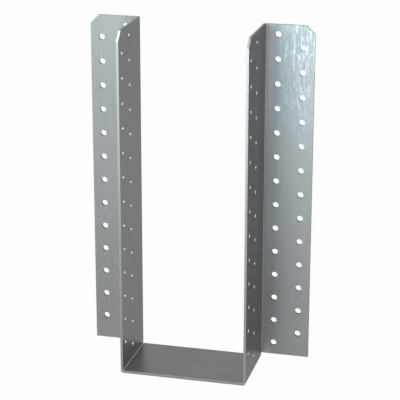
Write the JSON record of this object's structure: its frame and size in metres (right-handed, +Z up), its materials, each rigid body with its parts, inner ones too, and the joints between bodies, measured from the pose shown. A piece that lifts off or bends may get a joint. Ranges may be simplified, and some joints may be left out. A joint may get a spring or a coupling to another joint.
{
  "type": "beam hanger",
  "caption": "Folded sheet-steel hanger that seats the end of a timber beam between two nail plates, with two outward flanges that nail to the face of a carrying beam.",
  "frame": {"origin": "middle of the footprint, on the underside of the seat", "axes": "+Z up, +Y from the open front towards the carrying beam that the flanges are nailed to, +X across the beam"},
  "size_m": [0.1824, 0.0616, 0.282],
  "materials": {
    "galvanised_steel": "hot-dip galvanised sheet, satin grey with faint rolling streaks"
  },
  "bodies": {
    "root": {"beam_hanger": "galvanised_steel"}
  },
  "joints": []
}
